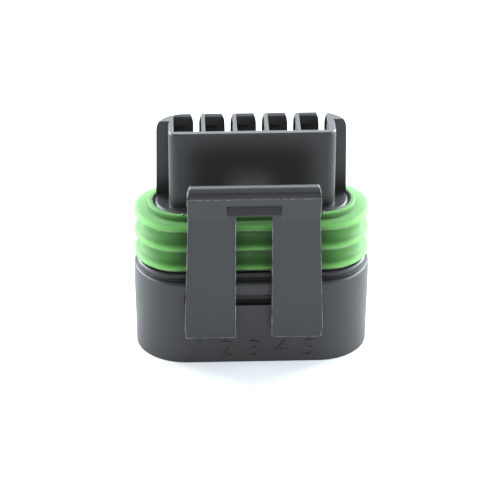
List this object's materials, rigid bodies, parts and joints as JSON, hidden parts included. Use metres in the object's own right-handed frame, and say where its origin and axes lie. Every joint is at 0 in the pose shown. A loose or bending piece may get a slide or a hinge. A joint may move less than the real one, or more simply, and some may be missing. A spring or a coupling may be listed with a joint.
{
  "type": "sensor connector",
  "caption": "Sealed cable-side sensor connector: a dark moulded housing with an open comb nose and a flexing front latch, a ribbed green ring seal and a rubber cable seal in its rear chamber.",
  "frame": {"origin": "centre of the part's bounding box at the rear rim, which is its lowest face", "axes": "+Z along the contacts towards the mating nose, -Y towards the latch, +X along the row of contacts"},
  "size_m": [0.0304, 0.0162, 0.0309],
  "materials": {
    "housing_plastic": "fine moulded, dark charcoal",
    "seal_rubber": "soft satin, green"
  },
  "bodies": {
    "root": {"housing": "housing_plastic", "interface_seal": "seal_rubber", "cable_seal": "seal_rubber"}
  },
  "joints": []
}
